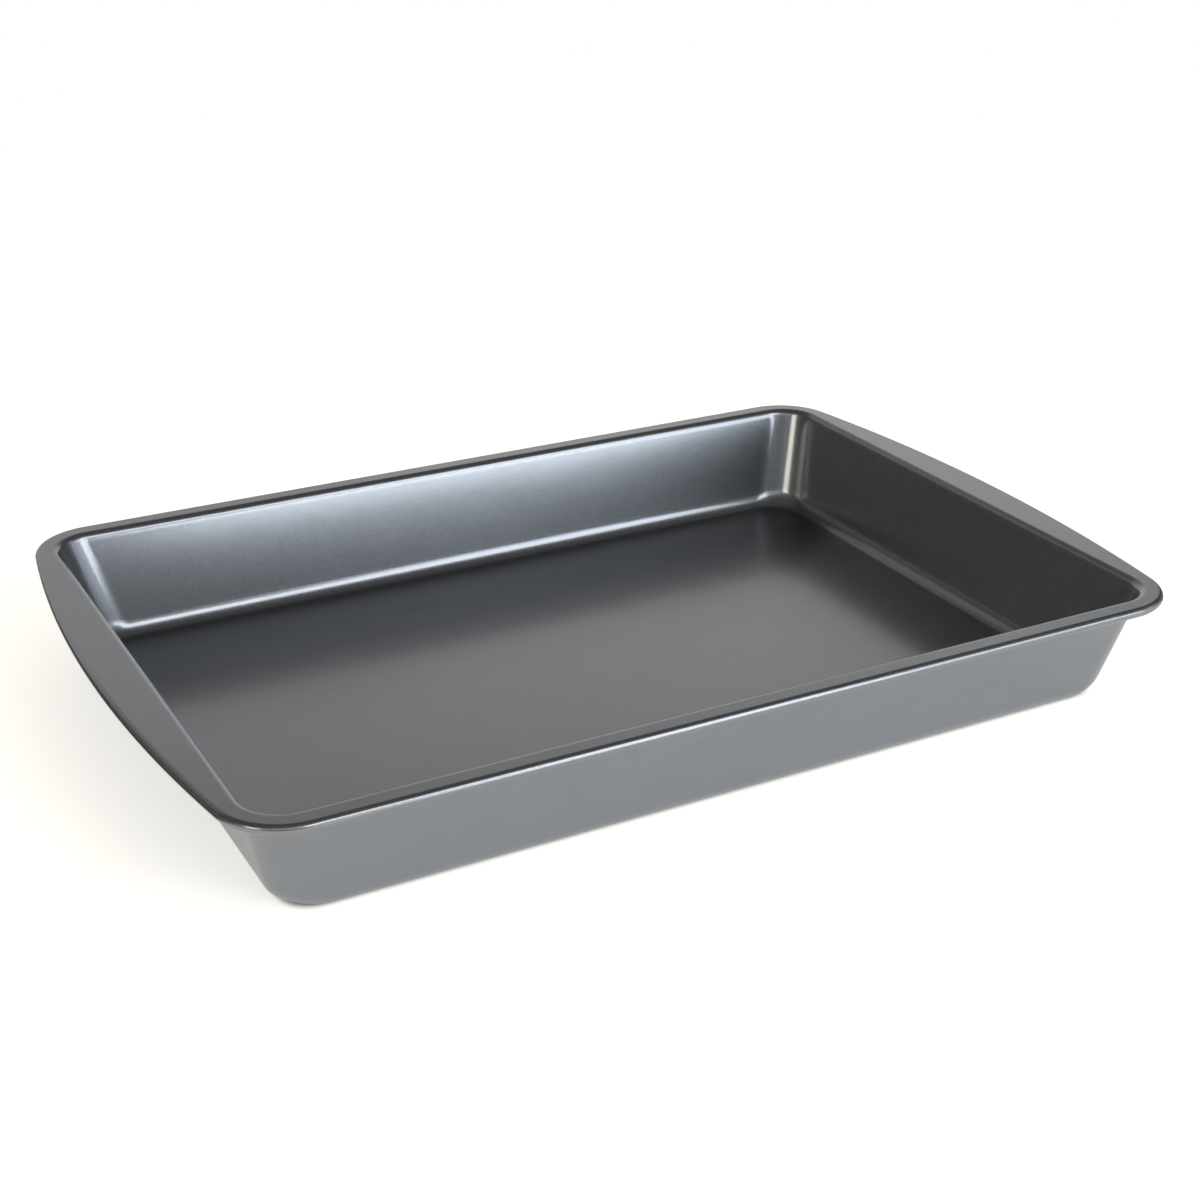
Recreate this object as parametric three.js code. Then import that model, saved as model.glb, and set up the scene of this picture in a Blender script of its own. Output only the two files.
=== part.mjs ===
// A rectangular baking pan, pressed in one piece from a blank of precoated sheet steel: a flat floor,
// four drafted walls, a flat flange that swells into a crescent handle at each end, and an edge that is
// rolled under all the way round. The sheet is a steel core with a baked-on coat on each side.
// Millimetres, +Z up, X from handle to handle. The origin is the middle of the base's underside.
import * as THREE from "three";

// The sheet, from the food side to the underside.
const INSIDE_COAT = 0.04;
const STEEL = 0.6;
const OUTSIDE_COAT = 0.03;

// The body, measured on its inside face. The floor sizes are where the walls, carried straight down,
// would meet the floor.
const RIM_HEIGHT = 50;
const FLOOR_LENGTH = 382.4;
const FLOOR_WIDTH = 260.4;
const END_DRAFT = 13.5;
const SIDE_DRAFT = 12;
const CORNER_RADIUS_AT_FLOOR = 19.8;
const CORNER_RADIUS_AT_RIM = 16.4;
const FLOOR_FILLET = 8.2;
const FILLET_GROWTH_AT_CORNERS = 5;

// The flange, from the wall carried straight up to the outer edge, the radius of the outer edge at the
// corners, and how far a handle swells past it.
const RIM_BEND_INSIDE = 3.95;
const FLANGE_WIDTH = 10.6;
const EDGE_CORNER = 28.4;
const HANDLE_SWELL = 9.7;

// The rolled edge: the radius of its hollow, and the gap left under the flange by the cut edge.
const ROLL_HOLLOW = 1.5;
const ROLL_GAP = 0.8;

// Facets of each round stretch.
const CORNER_STEPS = 6;
const HANDLE_STEPS = 6;
const FILLET_STEPS = 4;
const BEND_STEPS = 3;
const ROLL_STEPS = 8;

const SHEET = INSIDE_COAT + STEEL + OUTSIDE_COAT;
const RIM_BEND = RIM_BEND_INSIDE + SHEET;
const ROLL_RADIUS = ROLL_HOLLOW + SHEET;
const QUARTER_TURN = Math.PI / 2;
const END_SLOPE = Math.tan(THREE.MathUtils.degToRad(END_DRAFT));
const SIDE_SLOPE = Math.tan(THREE.MathUtils.degToRad(SIDE_DRAFT));
const WALL_HEIGHT = RIM_HEIGHT - SHEET;
const CORNER_GROWTH = (CORNER_RADIUS_AT_RIM - CORNER_RADIUS_AT_FLOOR) / WALL_HEIGHT;

// The inside face of the walls at a height: half its length, half its width and its corner radius.
function wallLevel(z) {
  const height = z - SHEET;
  return {
    halfLength: FLOOR_LENGTH / 2 + height * END_SLOPE,
    halfWidth: FLOOR_WIDTH / 2 + height * SIDE_SLOPE,
    corner: CORNER_RADIUS_AT_FLOOR + height * CORNER_GROWTH,
  };
}

// The stations that every ring of the loft has in common, anticlockwise seen from above. Each lies on
// one of the four corners or on an end between two of them: turn goes from 0 at the end of the pan to 1
// at its side, and alongEnd from -1 at the front corner to 1 at the back one.
function stationsRound() {
  const steps = Array.from({ length: CORNER_STEPS + 1 }, (_, i) => i / CORNER_STEPS);
  const between = Array.from({ length: HANDLE_STEPS - 1 }, (_, i) => (2 * (i + 1)) / HANDLE_STEPS - 1);
  const corner = (endSign, sideSign, turns) =>
    turns.map((turn) => ({ endSign, sideSign, alongEnd: sideSign, turn }));
  const end = (endSign, places) =>
    places.map((alongEnd) => ({ endSign, sideSign: 1, alongEnd, turn: 0 }));
  const back = [...steps].reverse();
  return [
    ...corner(1, 1, steps),
    ...corner(-1, 1, back),
    ...end(-1, [...between].reverse()),
    ...corner(-1, -1, steps),
    ...corner(1, -1, back),
    ...end(1, between),
  ];
}

// The direction square to the wall at a station, and how much the wall leans out along it.
function wallFacing({ endSign, sideSign, turn }) {
  const across = Math.cos(turn * QUARTER_TURN);
  const aside = Math.sin(turn * QUARTER_TURN);
  const slope = across * END_SLOPE + aside * SIDE_SLOPE + CORNER_GROWTH * (1 - across - aside);
  return { out: new THREE.Vector2(endSign * across, sideSign * aside), lean: Math.atan(slope) };
}

// The point of the wall's inside face at a station and height, moved out square to the wall.
function wallPoint(station, z, moved) {
  const { halfLength, halfWidth, corner } = wallLevel(z);
  const { out } = wallFacing(station);
  const middle = new THREE.Vector2(
    station.endSign * (halfLength - corner),
    station.alongEnd * (halfWidth - corner),
  );
  return middle.addScaledVector(out, corner + moved);
}

// The flange's outer edge. Its corners go round outside the walls' corners, and each end is one long arc
// that runs into the corners and swells out between them.
const rim = wallLevel(RIM_HEIGHT);
const CORNER_MIDDLE_Y = rim.halfWidth + FLANGE_WIDTH - EDGE_CORNER;
const HANDLE_END = rim.halfLength + FLANGE_WIDTH + HANDLE_SWELL;
const HANDLE_ARC = (CORNER_MIDDLE_Y ** 2 + HANDLE_SWELL ** 2) / (2 * HANDLE_SWELL);
const ARC_MIDDLE_X = HANDLE_END - HANDLE_ARC;
const ARC_HALF_ANGLE = Math.asin(CORNER_MIDDLE_Y / (HANDLE_ARC - EDGE_CORNER));
const CORNER_MIDDLE_X = ARC_MIDDLE_X + (HANDLE_ARC - EDGE_CORNER) * Math.cos(ARC_HALF_ANGLE);

// The outer edge at a station, set back from the very edge, with the direction square to it.
function edgePoint({ endSign, alongEnd, turn }, setBack) {
  const onCorner = Math.abs(alongEnd) === 1;
  const angle = onCorner
    ? THREE.MathUtils.lerp(ARC_HALF_ANGLE, QUARTER_TURN, turn)
    : Math.abs(alongEnd) * ARC_HALF_ANGLE;
  const side = Math.sign(alongEnd);
  const out = new THREE.Vector2(endSign * Math.cos(angle), side * Math.sin(angle));
  const middle = onCorner
    ? new THREE.Vector2(endSign * CORNER_MIDDLE_X, side * CORNER_MIDDLE_Y)
    : new THREE.Vector2(endSign * ARC_MIDDLE_X, 0);
  const radius = onCorner ? EDGE_CORNER : HANDLE_ARC;
  return { point: middle.addScaledVector(out, radius - setBack), out };
}

// One face of the sheet, as rings from the floor out to the cut edge. depth is how far the face lies
// below the food side, so the same rounds serve the faces of every layer.
function sheetFace(stations, depth) {
  const arc = (steps, ring) => Array.from({ length: steps + 1 }, (_, i) => stations.map(ring(i / steps)));
  const at = (plan, z) => new THREE.Vector3(plan.x, plan.y, z);

  const fillet = arc(FILLET_STEPS, (share) => (station) => {
    const { out, lean } = wallFacing(station);
    const inside = FLOOR_FILLET + FILLET_GROWTH_AT_CORNERS * Math.sin(station.turn * Math.PI);
    const touch = SHEET + inside * (1 - Math.sin(lean));
    const middle = wallPoint(station, touch, -inside * Math.cos(lean));
    const angle = THREE.MathUtils.lerp(QUARTER_TURN, lean, share);
    const radius = inside + depth;
    const z = SHEET + inside - radius * Math.sin(angle);
    return at(middle.addScaledVector(out, radius * Math.cos(angle)), z);
  });

  const bend = arc(BEND_STEPS, (share) => (station) => {
    const { out, lean } = wallFacing(station);
    const touch = RIM_HEIGHT - RIM_BEND * (1 - Math.sin(lean));
    const middle = wallPoint(station, touch, RIM_BEND * Math.cos(lean));
    const angle = THREE.MathUtils.lerp(lean, QUARTER_TURN, share);
    const radius = RIM_BEND - depth;
    const z = RIM_HEIGHT - RIM_BEND + radius * Math.sin(angle);
    return at(middle.addScaledVector(out, -radius * Math.cos(angle)), z);
  });

  const rollTurn = 2 * Math.PI - Math.acos((ROLL_HOLLOW - ROLL_GAP) / ROLL_RADIUS);
  const roll = arc(ROLL_STEPS, (share) => (station) => {
    const { point, out } = edgePoint(station, ROLL_RADIUS);
    const radius = ROLL_RADIUS - depth;
    const z = RIM_HEIGHT - ROLL_RADIUS + radius * Math.cos(share * rollTurn);
    return at(point.addScaledVector(out, radius * Math.sin(share * rollTurn)), z);
  });

  return [...fillet, ...bend, ...roll];
}

// A closed layer of the sheet between two of its faces: a fan over the floor and a strip between each
// pair of rings on both faces, and one strip along the cut edge. Faces that two layers share are split
// into the same triangles.
function sheetLayer(upper, lower) {
  const positions = [];
  const triangle = (...corners) => corners.forEach((v) => positions.push(v.x, v.y, v.z));
  const strip = (inner, outer, facing) =>
    inner.forEach((a, i) => {
      const next = (i + 1) % inner.length;
      facing(a, outer[i], outer[next]);
      facing(a, outer[next], inner[next]);
    });
  const face = (rings, facing) => {
    const middle = new THREE.Vector3(0, 0, rings[0][0].z);
    rings[0].forEach((a, i) => facing(middle, a, rings[0][(i + 1) % rings[0].length]));
    rings.slice(1).forEach((outer, i) => strip(rings[i], outer, facing));
  };
  face(upper, triangle);
  face(lower, (a, b, c) => triangle(a, c, b));
  strip(upper.at(-1), lower.at(-1), triangle);
  const geometry = new THREE.BufferGeometry();
  geometry.setAttribute("position", new THREE.Float32BufferAttribute(positions, 3));
  geometry.computeVertexNormals();
  return geometry;
}

const stations = stationsRound();
const foodSide = sheetFace(stations, 0);
const steelTop = sheetFace(stations, INSIDE_COAT);
const steelUnderside = sheetFace(stations, INSIDE_COAT + STEEL);
const underside = sheetFace(stations, SHEET);

const satinCoat = new THREE.MeshStandardMaterial({ color: 0x8c8d8f, metalness: 1, roughness: 0.2 });
const backCoat = new THREE.MeshStandardMaterial({ color: 0x8a8e91, metalness: 1, roughness: 0.22 });
const rawSteel = new THREE.MeshStandardMaterial({ color: 0xb4b5b6, metalness: 1, roughness: 0.4 });

const pan = new THREE.Group();
function addPiece(name, geometry, material) {
  const mesh = new THREE.Mesh(geometry, material);
  mesh.name = name;
  pan.add(mesh);
}
addPiece("inside_nonstick_coat", sheetLayer(foodSide, steelTop), satinCoat);
addPiece("pressed_steel_pan", sheetLayer(steelTop, steelUnderside), rawSteel);
addPiece("outside_coat", sheetLayer(steelUnderside, underside), backCoat);

export default pan;
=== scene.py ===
import math
from typing import NamedTuple

import bpy
from mathutils import Matrix, Vector


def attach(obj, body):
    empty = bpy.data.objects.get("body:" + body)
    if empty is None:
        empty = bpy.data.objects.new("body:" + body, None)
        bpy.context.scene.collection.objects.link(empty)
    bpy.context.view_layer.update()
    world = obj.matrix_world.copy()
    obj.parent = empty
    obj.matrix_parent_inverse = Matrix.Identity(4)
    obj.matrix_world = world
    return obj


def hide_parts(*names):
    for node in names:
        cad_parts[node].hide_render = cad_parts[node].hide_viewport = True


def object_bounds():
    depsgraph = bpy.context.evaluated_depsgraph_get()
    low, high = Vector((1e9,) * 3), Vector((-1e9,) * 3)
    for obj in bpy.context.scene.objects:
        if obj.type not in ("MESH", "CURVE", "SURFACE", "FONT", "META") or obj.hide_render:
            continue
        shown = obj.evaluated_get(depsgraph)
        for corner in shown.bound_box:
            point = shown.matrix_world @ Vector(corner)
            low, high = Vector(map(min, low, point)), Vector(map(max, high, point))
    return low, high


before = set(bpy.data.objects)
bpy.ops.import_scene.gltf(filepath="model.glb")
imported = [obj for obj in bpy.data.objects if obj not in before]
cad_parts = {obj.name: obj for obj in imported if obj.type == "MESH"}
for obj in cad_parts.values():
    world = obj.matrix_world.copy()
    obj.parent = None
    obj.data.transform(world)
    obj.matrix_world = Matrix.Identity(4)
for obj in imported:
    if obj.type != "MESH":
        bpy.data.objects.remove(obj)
cad_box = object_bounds()

# The pressing: a blank of cold-rolled steel sheet, coated on both sides, drawn in one piece into a flat
# floor, four drafted walls and a flange that swells into a crescent handle at each end. Its edge is rolled
# under all the way round, so bare steel shows only at the cut edge inside the roll.
MM = 0.001
INSIDE_COAT = 0.04 * MM
STEEL = 0.6 * MM
OUTSIDE_COAT = 0.03 * MM
SHEET = INSIDE_COAT + STEEL + OUTSIDE_COAT
# The inside face. The floor sizes are where the walls, carried straight down, would meet the floor.
RIM_HEIGHT = cad_box[1][2]
FLOOR_LENGTH = 382.4 * MM
FLOOR_WIDTH = 260.4 * MM
END_DRAFT = math.radians(13.5)
SIDE_DRAFT = math.radians(12)
END_SLOPE = math.tan(END_DRAFT)
SIDE_SLOPE = math.tan(SIDE_DRAFT)
CORNER_RADIUS_AT_FLOOR = 18 * MM
CORNER_RADIUS_AT_RIM = 16.4 * MM
CORNER_GROWTH = (CORNER_RADIUS_AT_RIM - CORNER_RADIUS_AT_FLOOR) / (RIM_HEIGHT - SHEET)
FLOOR_FILLET = 7.1 * MM
FILLET_GROWTH_AT_CORNERS = 3.5 * MM
# The share by which the fillet reaches further up the wall, and less far over the floor, than a round one.
FILLET_LEAN = 0.13
RIM_BEND_INSIDE = 2.7 * MM
RIM_BEND = RIM_BEND_INSIDE + SHEET
# The flange, from the wall carried straight up to its outer edge, and the roll along that edge, which turns
# until its cut edge is ROLL_GAP below the flange.
FLANGE_WIDTH = 10.6 * MM
EDGE_CORNER = 28.4 * MM
HANDLE_SWELL = 9.7 * MM
ROLL_HOLLOW = 1.5 * MM
ROLL_RADIUS = ROLL_HOLLOW + SHEET
ROLL_GAP = 0.8 * MM
ROLL_TURN = 2 * math.pi - math.acos((ROLL_HOLLOW - ROLL_GAP) / ROLL_RADIUS)
QUARTER_TURN = math.pi / 2
# Facets of each round, and the share of a flat that is a strip of its own beside a round, so that the smooth
# shading of the round stays off the flat.
CORNER_STEPS = 16
HANDLE_STEPS = 32
FILLET_STEPS = 12
BEND_STEPS = 10
ROLL_STEPS = 32
EASE = 0.04


class Station(NamedTuple):
    """A place round the pan.

    turn goes from 0 at an end to 1 at a side, and along from -1 at the front to 1 behind.
    """

    end: int
    side: int
    along: float
    turn: float


def stations_round():
    """Every station, anticlockwise from the back corner of the right-hand end."""
    turns = [i / CORNER_STEPS for i in range(CORNER_STEPS + 1)]
    places = [2 * i / HANDLE_STEPS - 1 for i in range(1, HANDLE_STEPS)]
    return [
        *(Station(1, 1, 1, turn) for turn in turns),
        *(Station(-1, 1, 1, turn) for turn in reversed(turns)),
        *(Station(-1, 1, along, 0) for along in reversed(places)),
        *(Station(-1, -1, -1, turn) for turn in turns),
        *(Station(1, -1, -1, turn) for turn in reversed(turns)),
        *(Station(1, 1, along, 0) for along in places),
    ]


def wall_facing(station):
    """The direction square to the wall in plan, and the angle at which the wall leans out along it."""
    across = math.cos(station.turn * QUARTER_TURN)
    aside = math.sin(station.turn * QUARTER_TURN)
    slope = across * END_SLOPE + aside * SIDE_SLOPE + CORNER_GROWTH * (1 - across - aside)
    return Vector((station.end * across, station.side * aside)), math.atan(slope)


def wall_point(station, height, moved):
    """The inside face of the wall at a height, moved out square to the wall."""
    rise = height - SHEET
    corner = CORNER_RADIUS_AT_FLOOR + rise * CORNER_GROWTH
    half_length = FLOOR_LENGTH / 2 + rise * END_SLOPE
    half_width = FLOOR_WIDTH / 2 + rise * SIDE_SLOPE
    middle = Vector((station.end * (half_length - corner), station.along * (half_width - corner)))
    return middle + wall_facing(station)[0] * (corner + moved)


WALL_TOP_END = FLOOR_LENGTH / 2 + (RIM_HEIGHT - SHEET) * END_SLOPE
WALL_TOP_SIDE = FLOOR_WIDTH / 2 + (RIM_HEIGHT - SHEET) * SIDE_SLOPE
CORNER_MIDDLE_Y = WALL_TOP_SIDE + FLANGE_WIDTH - EDGE_CORNER
HANDLE_ARC = (CORNER_MIDDLE_Y**2 + HANDLE_SWELL**2) / (2 * HANDLE_SWELL)
ARC_MIDDLE_X = WALL_TOP_END + FLANGE_WIDTH + HANDLE_SWELL - HANDLE_ARC
ARC_HALF_ANGLE = math.asin(CORNER_MIDDLE_Y / (HANDLE_ARC - EDGE_CORNER))
CORNER_MIDDLE_X = ARC_MIDDLE_X + (HANDLE_ARC - EDGE_CORNER) * math.cos(ARC_HALF_ANGLE)


def edge_point(station, set_back):
    """The flange's outer edge, set back from the very edge, and the direction square to it."""
    side = math.copysign(1, station.along)
    if abs(station.along) == 1:
        angle = ARC_HALF_ANGLE + (QUARTER_TURN - ARC_HALF_ANGLE) * station.turn
        middle = Vector((station.end * CORNER_MIDDLE_X, side * CORNER_MIDDLE_Y))
        radius = EDGE_CORNER
    else:
        angle = abs(station.along) * ARC_HALF_ANGLE
        middle = Vector((station.end * ARC_MIDDLE_X, 0))
        radius = HANDLE_ARC
    out = Vector((station.end * math.cos(angle), side * math.sin(angle)))
    return middle + out * (radius - set_back), out


def fillet_point(station, share, depth):
    """The fillet between the floor and the wall, from the floor at share 0 to the wall at share 1."""
    out, lean = wall_facing(station)
    inside = FLOOR_FILLET + FILLET_GROWTH_AT_CORNERS * math.sin(station.turn * math.pi)
    half_turn = (QUARTER_TURN - lean) / 2
    reach = (inside + depth) * math.tan(half_turn)
    on_floor = (1 - FILLET_LEAN) * reach
    on_wall = (1 + FILLET_LEAN) * reach
    foot = wall_point(station, SHEET - depth, depth / math.cos(lean))
    start = foot - out * on_floor
    end = foot + out * on_wall * math.sin(lean)
    # A conic whose two ends head for the foot of the wall. With no lean it would be an arc of a circle.
    weights = ((1 - share) ** 2, 2 * math.cos(half_turn) * share * (1 - share), share**2)
    plan = (start * weights[0] + foot * weights[1] + end * weights[2]) / sum(weights)
    rise = on_wall * math.cos(lean) * weights[2] / sum(weights)
    return plan.to_3d() + Vector((0, 0, SHEET - depth + rise))


def bend_point(station, share, depth):
    """The bend between the wall and the flange, from the wall at share 0 to the flange at share 1."""
    out, lean = wall_facing(station)
    touch = RIM_HEIGHT - RIM_BEND * (1 - math.sin(lean))
    middle = wall_point(station, touch, RIM_BEND * math.cos(lean))
    angle = lean + (QUARTER_TURN - lean) * share
    radius = RIM_BEND - depth
    plan = middle - out * radius * math.cos(angle)
    return plan.to_3d() + Vector((0, 0, RIM_HEIGHT - RIM_BEND + radius * math.sin(angle)))


def roll_point(station, share, depth):
    """The roll along the outer edge, from the flange at share 0 to the cut edge at share 1."""
    middle, out = edge_point(station, ROLL_RADIUS)
    radius = ROLL_RADIUS - depth
    angle = share * ROLL_TURN
    plan = middle + out * radius * math.sin(angle)
    return plan.to_3d() + Vector((0, 0, RIM_HEIGHT - ROLL_RADIUS + radius * math.cos(angle)))


def sheet_face(depth):
    """One face of the sheet as rings from the floor out to the cut edge, depth below the food side."""
    stations = stations_round()

    def arc(point, steps):
        return [[point(station, i / steps, depth) for station in stations] for i in range(steps + 1)]

    def flat(inner, outer):
        return [[a.lerp(b, share) for a, b in zip(inner, outer)] for share in (EASE, 1 - EASE)]

    fillet = arc(fillet_point, FILLET_STEPS)
    bend = arc(bend_point, BEND_STEPS)
    roll = arc(roll_point, ROLL_STEPS)
    floor = [[point * Vector((1 - EASE, 1 - EASE, 1)) for point in fillet[0]]]
    return [*floor, *fillet, *flat(fillet[-1], bend[0]), *bend, *flat(bend[-1], roll[0]), *roll]


def sheet_layer(name, upper, lower):
    """A closed layer of the sheet between two of its faces, smooth all over."""
    points = [point for rings in (upper, lower) for ring in rings for point in ring]
    around = len(upper[0])
    polygons = []

    def strip(inner, outer, facing):
        for i in range(around):
            after = (i + 1) % around
            polygons.append([inner + i, outer + i, outer + after, inner + after][::facing])

    for first, facing in ((0, 1), (around * len(upper), -1)):
        polygons.append([first + i for i in range(around)][::facing])
        for ring in range(len(upper) - 1):
            strip(first + ring * around, first + (ring + 1) * around, facing)
    # The two faces join along the edge of the sheet.
    strip(around * (len(upper) - 1), around * (2 * len(upper) - 1), 1)
    mesh = bpy.data.meshes.new(name)
    mesh.from_pydata(points, [], polygons)
    mesh.shade_smooth()
    piece = bpy.data.objects.new(name, mesh)
    bpy.context.scene.collection.objects.link(piece)
    return piece


class Wire:
    """A socket that gives a value. Sums and products of wires and numbers add Math nodes."""

    def __init__(self, socket):
        self.socket = socket

    @classmethod
    def node(cls, tree, kind, settings=None, sockets=None, output=0):
        made = tree.nodes.new(kind)
        for setting, value in (settings or {}).items():
            setattr(made, setting, value)
        for socket, value in (sockets or {}).items():
            if isinstance(value, Wire):
                tree.links.new(value.socket, made.inputs[socket])
            else:
                made.inputs[socket].default_value = value
        return cls(made.outputs[output]) if made.outputs else None

    def maths(self, operation, first, second):
        tree = self.socket.id_data
        return Wire.node(tree, "ShaderNodeMath", {"operation": operation}, {0: first, 1: second})

    def __add__(self, other):
        return self.maths("ADD", self, other)

    def __sub__(self, other):
        return self.maths("SUBTRACT", self, other)

    def __rsub__(self, other):
        return self.maths("SUBTRACT", other, self)

    def __mul__(self, other):
        return self.maths("MULTIPLY", self, other)

    __radd__ = __add__
    __rmul__ = __mul__


def new_material(name):
    """An empty material, and its node tree."""
    material = bpy.data.materials.new(name)
    material.use_nodes = True
    material.node_tree.nodes.clear()
    return material, material.node_tree


def stretched_noise(tree, across, detail=2.0, roughness=0.5):
    """Noise in the pan's own frame, from 0 to 1, with so many marks to a metre along each axis."""
    place = Wire.node(tree, "ShaderNodeTexCoord", output="Object")
    scaled = Wire.node(tree, "ShaderNodeVectorMath", {"operation": "MULTIPLY"}, {0: place, 1: across})
    sockets = {"Vector": scaled, "Scale": 1.0, "Detail": detail, "Roughness": roughness}
    return Wire.node(tree, "ShaderNodeTexNoise", {}, sockets)


STEEL_COLOUR = (0.62, 0.615, 0.6, 1)
STEEL_ROUGHNESS = 0.3
ROLLING_LINES = (40, 2500, 2500)
ROLLING_LINE_HEIGHT = 0.004 * MM
ROLLING_LINE_ROUGHNESS = 0.16


def bare_steel():
    """Cold-rolled steel with fine rolling lines along the sheet."""
    material, tree = new_material("bare_steel")
    lines = stretched_noise(tree, ROLLING_LINES, detail=3)
    relief = Wire.node(tree, "ShaderNodeBump", {}, {"Height": lines, "Distance": ROLLING_LINE_HEIGHT})
    shader = Wire.node(
        tree,
        "ShaderNodeBsdfPrincipled",
        {},
        {
            "Base Color": STEEL_COLOUR,
            "Metallic": 1.0,
            "Roughness": STEEL_ROUGHNESS + ROLLING_LINE_ROUGHNESS * lines,
            "Normal": relief,
        },
    )
    Wire.node(tree, "ShaderNodeOutputMaterial", {}, {"Surface": shader})
    return material


food_side = sheet_face(0)
steel_top = sheet_face(INSIDE_COAT)
steel_underside = sheet_face(INSIDE_COAT + STEEL)
underside = sheet_face(SHEET)
pressing = sheet_layer("steel_pressing", steel_top, steel_underside)
pressing.data.materials.append(bare_steel())
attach(pressing, "root")
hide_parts("pressed_steel_pan")


# The non-stick coat: the food side's baked coat, a dark grey metallic satin, rolled on to the flat sheet
# before it is pressed. It covers the floor, the walls and the flange, and goes round the outside of the roll.
FLAKES = (9000, 9000, 9000)
FLAKE_EDGE = (0.4, 0.6)
MOTTLES = (45, 75, 75)
GRAIN_LINES = (110, 1500, 1500)
GRAIN_HEIGHT = 0.0006 * MM
# What each adds to the coat's tone, from its dark colour to its light one, and to its roughness.
FLAKE_TONE = 0.2
MOTTLE_TONE = 0.4
GRAIN_TONE = 0.4
COAT_ROUGHNESS = 0.12
FLAKE_ROUGHNESS = 0.28
GRAIN_ROUGHNESS = 0.06
INSIDE_DARK = (0.231, 0.236, 0.242, 1)
INSIDE_LIGHT = (0.3, 0.306, 0.313, 1)


def ramp(wire, start, end):
    """A smooth step from 0 where the wire is start to 1 where it is end."""
    tree = wire.socket.id_data
    sockets = {"Value": wire, "From Min": start, "From Max": end}
    return Wire.node(tree, "ShaderNodeMapRange", {"interpolation_type": "SMOOTHSTEP"}, sockets)


def blend(tree, share, first, second):
    """The first colour where the share is 0, the second where it is 1."""
    # A Mix node takes its colours in sockets 6 and 7, and gives their blend in output 2.
    sockets = {0: share, 6: first, 7: second}
    return Wire.node(tree, "ShaderNodeMix", {"data_type": "RGBA"}, sockets, output=2)


def satin_coat(name, dark, light):
    """A dark metallic coat: fine flake that is part glossy and part dull, and the sheet's rolling grain."""
    material, tree = new_material(name)
    flake = ramp(stretched_noise(tree, FLAKES, detail=1), *FLAKE_EDGE)
    mottle = stretched_noise(tree, MOTTLES, detail=4, roughness=0.6)
    grain = stretched_noise(tree, GRAIN_LINES, detail=3, roughness=0.6)
    relief = Wire.node(tree, "ShaderNodeBump", {}, {"Height": grain, "Distance": GRAIN_HEIGHT})
    tone = FLAKE_TONE * flake + MOTTLE_TONE * mottle + GRAIN_TONE * grain
    shader = Wire.node(
        tree,
        "ShaderNodeBsdfPrincipled",
        {},
        {
            "Base Color": blend(tree, tone, dark, light),
            "Metallic": 1.0,
            "Roughness": COAT_ROUGHNESS + FLAKE_ROUGHNESS * flake + GRAIN_ROUGHNESS * grain,
            "Normal": relief,
        },
    )
    Wire.node(tree, "ShaderNodeOutputMaterial", {}, {"Surface": shader})
    return material


inside = sheet_layer("inside_coat", food_side, steel_top)
inside.data.materials.append(satin_coat("inside_satin", INSIDE_DARK, INSIDE_LIGHT))
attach(inside, "root")
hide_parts("inside_nonstick_coat")

# The outside coat: a thinner heat-resistant coat of the same dark metallic grey, a little bluer, on the
# underside of the sheet. It covers the base, the outer walls and the underside of the flange, and lines the
# roll.
OUTSIDE_DARK = (0.223, 0.237, 0.259, 1)
OUTSIDE_LIGHT = (0.285, 0.304, 0.333, 1)
outside = sheet_layer("outside_coat_layer", steel_underside, underside)
outside.data.materials.append(satin_coat("outside_satin", OUTSIDE_DARK, OUTSIDE_LIGHT))
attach(outside, "root")
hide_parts("outside_coat")


# The table: a smooth white studio board under the pan, without an edge in view. It is white to the camera and
# in reflections, keeps the pan's soft shadow near by, and fades into the white of the room further off.
# Its glow fades out in a narrow gap round the pan's foot, which is painted shade under the pan's outer
# fillet.
WHITE = (1, 1, 1, 1)
BOARD_COLOUR = (0.83, 0.79, 0.71, 1)
GLOW_SEEN = 0.44
EXTRA_GLOW_TO_CAMERA = 0.12
FADE_START = 0.6
FADE_END = 1.3
TABLE_RADIUS = 12
TABLE_SIDES = 96
TABLE_DROP = 0.1 * MM
# How far the flat of the base stays inside the floor's size, the radius of its corners, and how wide the gap
# of painted shade round it is, where the table's glow fades out.
FOOT_INSET = 5.4 * MM
FOOT_CORNER = 10 * MM
PAINTED_SHADE_GAP = 5 * MM


def ray_kinds(tree):
    """Wires that are 1 for a camera ray, and 1 for a camera, mirrored or transmitted ray."""
    names = ("Is Camera Ray", "Is Glossy Ray", "Is Transmission Ray")
    camera, glossy, through = (Wire.node(tree, "ShaderNodeLightPath", output=name) for name in names)
    mirrored = glossy.maths("MAXIMUM", glossy, through)
    return camera, camera.maths("MAXIMUM", camera, mirrored)


def past_the_foot(tree, place):
    """How far a place lies outside the middle of the base. The flat of the base ends FOOT_CORNER from it."""
    inset = FOOT_INSET + FOOT_CORNER
    middle = (FLOOR_LENGTH / 2 - inset, FLOOR_WIDTH / 2 - inset, 1)
    folded = Wire.node(tree, "ShaderNodeVectorMath", {"operation": "ABSOLUTE"}, {0: place})
    past = Wire.node(tree, "ShaderNodeVectorMath", {"operation": "SUBTRACT"}, {0: folded, 1: middle})
    outside = Wire.node(tree, "ShaderNodeVectorMath", {"operation": "MAXIMUM"}, {0: past, 1: (0, 0, 0)})
    return Wire.node(tree, "ShaderNodeVectorMath", {"operation": "LENGTH"}, {0: outside}, output="Value")


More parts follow.
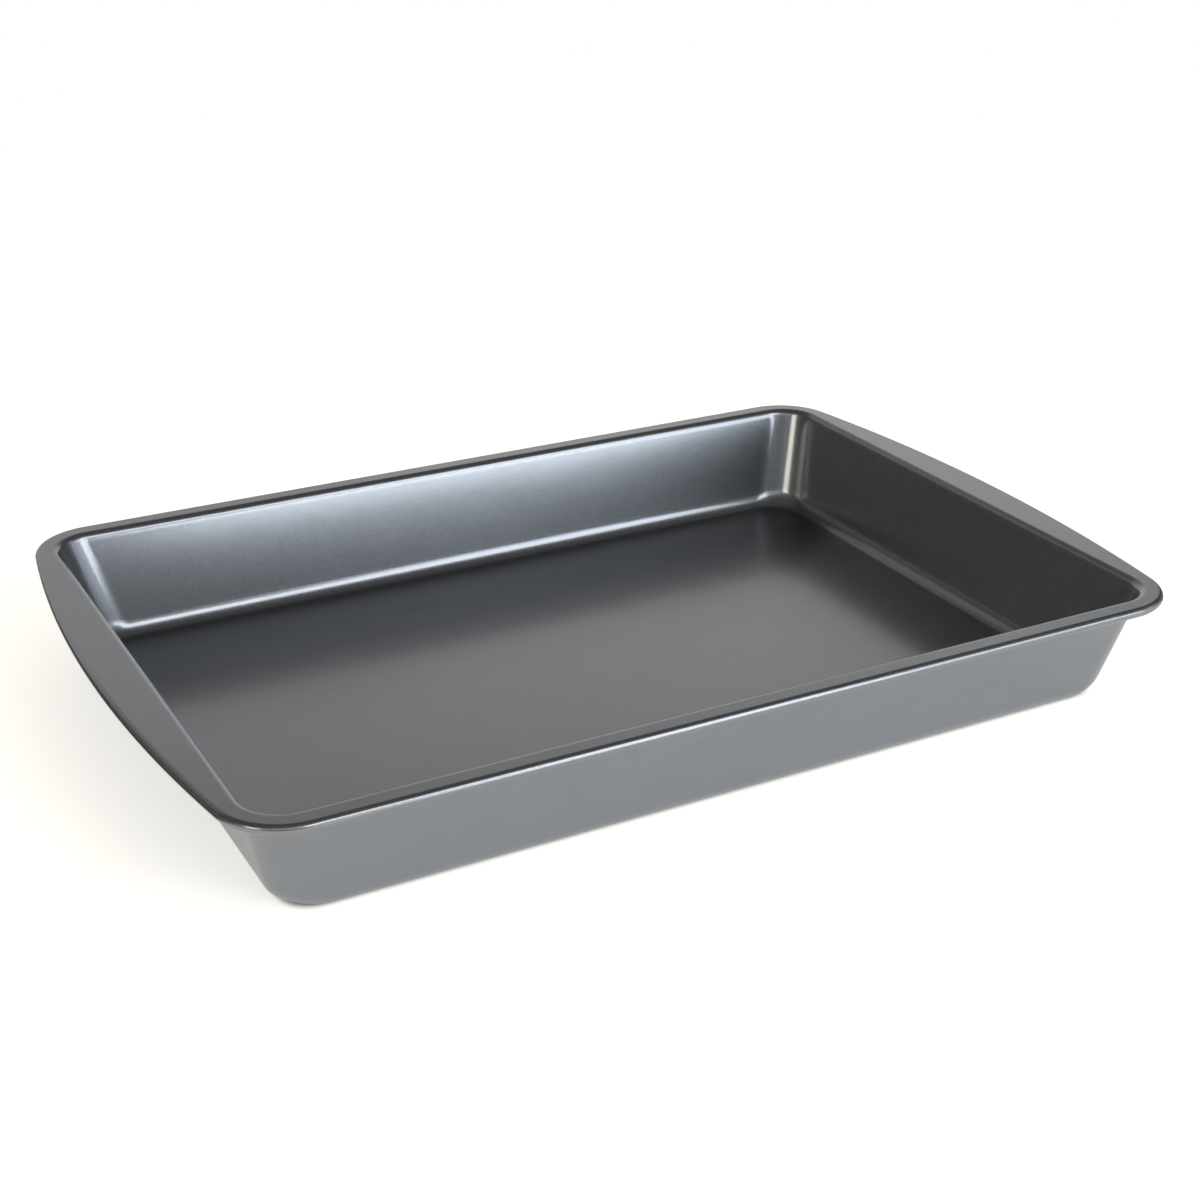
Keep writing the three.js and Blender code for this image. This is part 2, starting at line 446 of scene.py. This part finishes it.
def white_table():
    """White board that glows to the camera and in reflections, with painted shade round the pan's foot."""
    material, tree = new_material("white_table")
    place = Wire.node(tree, "ShaderNodeNewGeometry", output="Position")
    distance = Wire.node(tree, "ShaderNodeVectorMath", {"operation": "LENGTH"}, {0: place}, output="Value")
    camera, seen = ray_kinds(tree)
    board = Wire.node(tree, "ShaderNodeBsdfDiffuse", {}, {"Color": BOARD_COLOUR})
    strength = GLOW_SEEN * seen + EXTRA_GLOW_TO_CAMERA * camera
    glow = Wire.node(tree, "ShaderNodeEmission", {}, {"Color": WHITE, "Strength": strength})
    glowing = Wire.node(tree, "ShaderNodeAddShader", {}, {0: board, 1: glow})
    # The glow fades out near the foot: painted shade in the gap under the pan's outer fillet.
    clear_of_painted_shade = ramp(past_the_foot(tree, place), FOOT_CORNER, FOOT_CORNER + PAINTED_SHADE_GAP)
    near = Wire.node(tree, "ShaderNodeMixShader", {}, {0: clear_of_painted_shade, 1: board, 2: glowing})
    far = Wire.node(tree, "ShaderNodeEmission", {}, {"Color": WHITE, "Strength": seen})
    fade = ramp(distance, FADE_START, FADE_END)
    surface = Wire.node(tree, "ShaderNodeMixShader", {}, {0: fade, 1: near, 2: far})
    Wire.node(tree, "ShaderNodeOutputMaterial", {}, {"Surface": surface})
    return material


table_mesh = bpy.data.meshes.new("table")
turns = [2 * math.pi * i / TABLE_SIDES for i in range(TABLE_SIDES)]
table_rim = [(TABLE_RADIUS * math.cos(t), TABLE_RADIUS * math.sin(t), -TABLE_DROP) for t in turns]
table_mesh.from_pydata(table_rim, [], [list(range(TABLE_SIDES))])
table = bpy.data.objects.new("table", table_mesh)
bpy.context.scene.collection.objects.link(table)
table_mesh.materials.append(white_table())


# The studio: a white room with a daylight softbox in front on the right and windows under it, a warm card on
# the left, a weak fill behind the camera, and pale walls behind the pan. Each lamp stands where the pan
# mirrors it. Headings are in degrees, clockwise from straight behind the pan.
ROOM_LIGHT = 0.5
ROOM_IN_REFLECTIONS = 0.14
ROOM_COLOUR = (1, 0.96, 0.9, 1)
LAMP_DISTANCE = 2.5


def studio_room():
    """The room itself: white to the camera, dim in reflections, a pale light on everything else."""
    world = bpy.data.worlds.new("studio")
    world.use_nodes = True
    tree = world.node_tree
    tree.nodes.clear()
    camera, seen = ray_kinds(tree)
    strength = ROOM_LIGHT * (1 - seen) + ROOM_IN_REFLECTIONS * (seen - camera) + camera
    colour = blend(tree, seen, ROOM_COLOUR, WHITE)
    background = Wire.node(tree, "ShaderNodeBackground", {}, {"Color": colour, "Strength": strength})
    Wire.node(tree, "ShaderNodeOutputWorld", {}, {"Surface": background})
    return world


def softbox(name, heading, elevation, width, height, radiance, colour):
    """A rectangular lamp that faces the pan from a heading and elevation, as bright as radiance says."""
    lamp = bpy.data.lights.new(name, "AREA")
    lamp.shape = "RECTANGLE"
    lamp.size = width
    lamp.size_y = height
    lamp.energy = radiance * math.pi * width * height
    lamp.color = colour
    bearing = math.radians(heading)
    rise = math.radians(elevation)
    level = math.cos(rise)
    outward = Vector((math.sin(bearing) * level, math.cos(bearing) * level, math.sin(rise)))
    holder = bpy.data.objects.new(name, lamp)
    holder.location = outward * LAMP_DISTANCE + Vector((0, 0, RIM_HEIGHT / 2))
    holder.rotation_euler = (-outward).to_track_quat("-Z", "Y").to_euler()
    holder.visible_camera = False
    bpy.context.scene.collection.objects.link(holder)


bpy.context.scene.world = studio_room()
# Each lamp's heading and elevation, its width and height in metres, its radiance and its colour.
softbox("daylight_softbox", 162, 31.5, 1.48, 0.84, 4.1, (0.97, 1.0, 1.06))
softbox("window", 146, 17.5, 1.3, 0.55, 3.2, (0.86, 1.0, 1.17))
softbox("low_window", 156.5, 5, 1.05, 0.44, 6.1, (0.92, 1.0, 1.1))
softbox("side_glow", 124, 13, 1.5, 0.9, 1.1, (0.88, 1.0, 1.14))
softbox("warm_card", -112, 20, 0.75, 0.56, 5.2, (1.03, 1.0, 0.88))
softbox("fill_behind_camera", -159, 31, 2.4, 0.97, 0.8, (0.9, 1.0, 1.07))
softbox("back_wall", 13, 18, 4.5, 1.2, 0.58, (1.0, 1.0, 1.0))
softbox("back_horizon", 24, 4.5, 3.8, 0.4, 0.3, (0.95, 1.0, 1.06))
softbox("back_window", 36, 15, 1.4, 1.0, 0.2, (1.0, 1.0, 1.0))
softbox("back_wall_top", 2, 38, 4.2, 0.6, 0.24, (1.03, 1.0, 0.95))
softbox("side_window", 106, 27, 1.0, 1.0, 0.3, (0.9, 0.97, 1.15))

# The shade cards: black cards that lie on the table on either side of the pan, and show only in reflections.
# They are painted shade that stands in for the shaded table beside the pan in what the handles mirror, and
# they give the handles a dark outline.
CARD_BLACK = (0.05, 0.05, 0.05, 1)
CARD_HEIGHT = 1 * MM
shade_card_material, shade_card_tree = new_material("painted_shade_card")
card = Wire.node(shade_card_tree, "ShaderNodeBsdfDiffuse", {}, {"Color": CARD_BLACK})
Wire.node(shade_card_tree, "ShaderNodeOutputMaterial", {}, {"Surface": card})
# Each card of painted shade, with its near and far edge across the table and its front and back edge.
for name, near, far, front, back in (
    ("left_shade_card", -0.25, -0.75, -0.08, 0.7),
    ("right_shade_card", 0.25, 0.75, -0.1, 0.7),
):
    shade_card_mesh = bpy.data.meshes.new(name)
    outline = ((near, front), (far, front), (far, back), (near, back))
    shade_card_mesh.from_pydata([(x, y, CARD_HEIGHT) for x, y in outline], [], [[0, 1, 2, 3]])
    shade_card_mesh.materials.append(shade_card_material)
    shade_card_object = bpy.data.objects.new(name, shade_card_mesh)
    shade_card_object.visible_camera = False
    shade_card_object.visible_diffuse = False
    shade_card_object.visible_shadow = False
    bpy.context.scene.collection.objects.link(shade_card_object)

# The camera: a short telephoto in front of the pan on the left, looking down over its near corner, with its
# horizon level but for a hair's tilt.
FOCAL_LENGTH = 58.07
FILM_WIDTH = 36
NEAREST_IN_VIEW = 0.01
CAMERA_PLACE = Vector((-369.72 * MM, -696.46 * MM, 389.85 * MM))
CAMERA_HEADING = math.radians(28.377)
CAMERA_DIP = math.radians(24.342)
CAMERA_TILT = math.radians(0.164)
camera_data = bpy.data.cameras.new("camera")
camera_data.lens = FOCAL_LENGTH
camera_data.sensor_width = FILM_WIDTH
camera_data.clip_start = NEAREST_IN_VIEW
camera = bpy.data.objects.new("camera", camera_data)
level = math.cos(CAMERA_DIP)
looking = Vector((math.sin(CAMERA_HEADING) * level, math.cos(CAMERA_HEADING) * level, -math.sin(CAMERA_DIP)))
turned = looking.to_track_quat("-Z", "Y").to_matrix().to_4x4() @ Matrix.Rotation(CAMERA_TILT, 4, "Z")
camera.matrix_world = Matrix.Translation(CAMERA_PLACE) @ turned
bpy.context.scene.collection.objects.link(camera)
bpy.context.scene.camera = camera
bpy.context.scene.view_settings.view_transform = "Standard"
